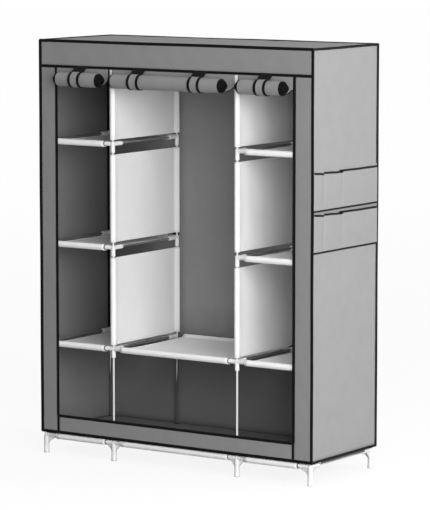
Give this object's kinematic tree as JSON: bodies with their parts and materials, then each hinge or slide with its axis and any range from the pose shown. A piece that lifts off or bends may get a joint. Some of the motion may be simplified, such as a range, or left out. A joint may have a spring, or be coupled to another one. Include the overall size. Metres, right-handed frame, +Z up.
{
  "type": "portable fabric wardrobe",
  "caption": "Free-standing fabric wardrobe: plugged tube frame with cloth shelves, partitions, hanging space, side pockets and roll-up front curtains.",
  "frame": {"origin": "on the floor under the middle of the whole object, pockets and rolled curtains included", "axes": "+X to the right across the front, +Y to the back, +Z up; the user stands at -Y"},
  "size_m": [1.3138, 0.544, 1.69],
  "materials": {
    "cloth_grey": "matte",
    "cloth_strap": "matte",
    "cloth_white": "matte",
    "plastic_white": "satin",
    "tube_dark": "satin"
  },
  "bodies": {
    "wardrobe": {"upright_front_left_outer": "plastic_white", "upright_front_left_inner": "plastic_white", "upright_front_right_inner": "plastic_white", "upright_front_right_outer": "plastic_white", "upright_rear_left_outer": "plastic_white", "upright_rear_left_inner": "plastic_white", "upright_rear_right_inner": "plastic_white", "upright_rear_right_outer": "plastic_white", "depth_tube_left_outer_level_0": "plastic_white", "depth_tube_left_outer_level_1": "tube_dark", "depth_tube_left_outer_level_2": "tube_dark", "depth_tube_left_outer_level_3": "tube_dark", "depth_tube_left_inner_level_0": "plastic_white", "depth_tube_left_inner_level_1": "tube_dark", "depth_tube_left_inner_level_2": "tube_dark", "depth_tube_left_inner_level_3": "tube_dark", "depth_tube_right_inner_level_0": "plastic_white", "depth_tube_right_inner_level_1": "tube_dark", "depth_tube_right_inner_level_2": "tube_dark", "depth_tube_right_inner_level_3": "tube_dark", "depth_tube_right_outer_level_0": "plastic_white", "depth_tube_right_outer_level_1": "tube_dark", "depth_tube_right_outer_level_2": "tube_dark", "depth_tube_right_outer_level_3": "tube_dark", "top_frame": "plastic_white", "hanging_rod": "tube_dark", "floor_sheet_left": "cloth_white", "floor_sheet_centre": "cloth_white", "floor_sheet_right": "cloth_white", "shelf_level_1_left": "cloth_white", "shelf_level_1_centre": "cloth_white", "shelf_level_1_right": "cloth_white", "shelf_level_2_left": "cloth_white", "shelf_level_2_right": "cloth_white", "shelf_level_3_left": "cloth_white", "shelf_level_3_right": "cloth_white", "partition_left_lower": "cloth_white", "partition_left_middle": "cloth_white", "partition_left_upper": "cloth_white", "partition_right_lower": "cloth_white", "partition_right_middle": "cloth_white", "partition_right_upper": "cloth_white", "cover_top": "cloth_grey", "cover_back": "cloth_grey", "cover_left_side": "cloth_grey", "cover_right_side": "cloth_grey", "cover_valance": "cloth_grey", "cover_left_border": "cloth_grey", "cover_right_border": "cloth_grey", "cover_bottom_border": "cloth_grey", "cover_floor": "cloth_grey", "side_pocket_upper": "cloth_grey", "side_pocket_lower": "cloth_grey", "strap_left": "cloth_strap", "strap_centre_left": "cloth_strap", "strap_centre_right": "cloth_strap", "strap_right": "cloth_strap"},
    "curtain_left": {"curtain_roll_left": "cloth_grey"},
    "curtain_centre": {"curtain_roll_centre": "cloth_grey"},
    "curtain_right": {"curtain_roll_right": "cloth_grey"}
  },
  "joints": [
    {"name": "unroll_left", "type": "slide", "parent": "wardrobe", "child": "curtain_left", "axis": [0, 0, -1], "range_m": [0, 1.408], "deforming": ["strap_left"]},
    {"name": "unroll_centre", "type": "slide", "parent": "wardrobe", "child": "curtain_centre", "axis": [0, 0, -1], "range_m": [0, 1.408], "deforming": ["strap_centre_left", "strap_centre_right"]},
    {"name": "unroll_right", "type": "slide", "parent": "wardrobe", "child": "curtain_right", "axis": [0, 0, -1], "range_m": [0, 1.408], "deforming": ["strap_right"]}
  ]
}
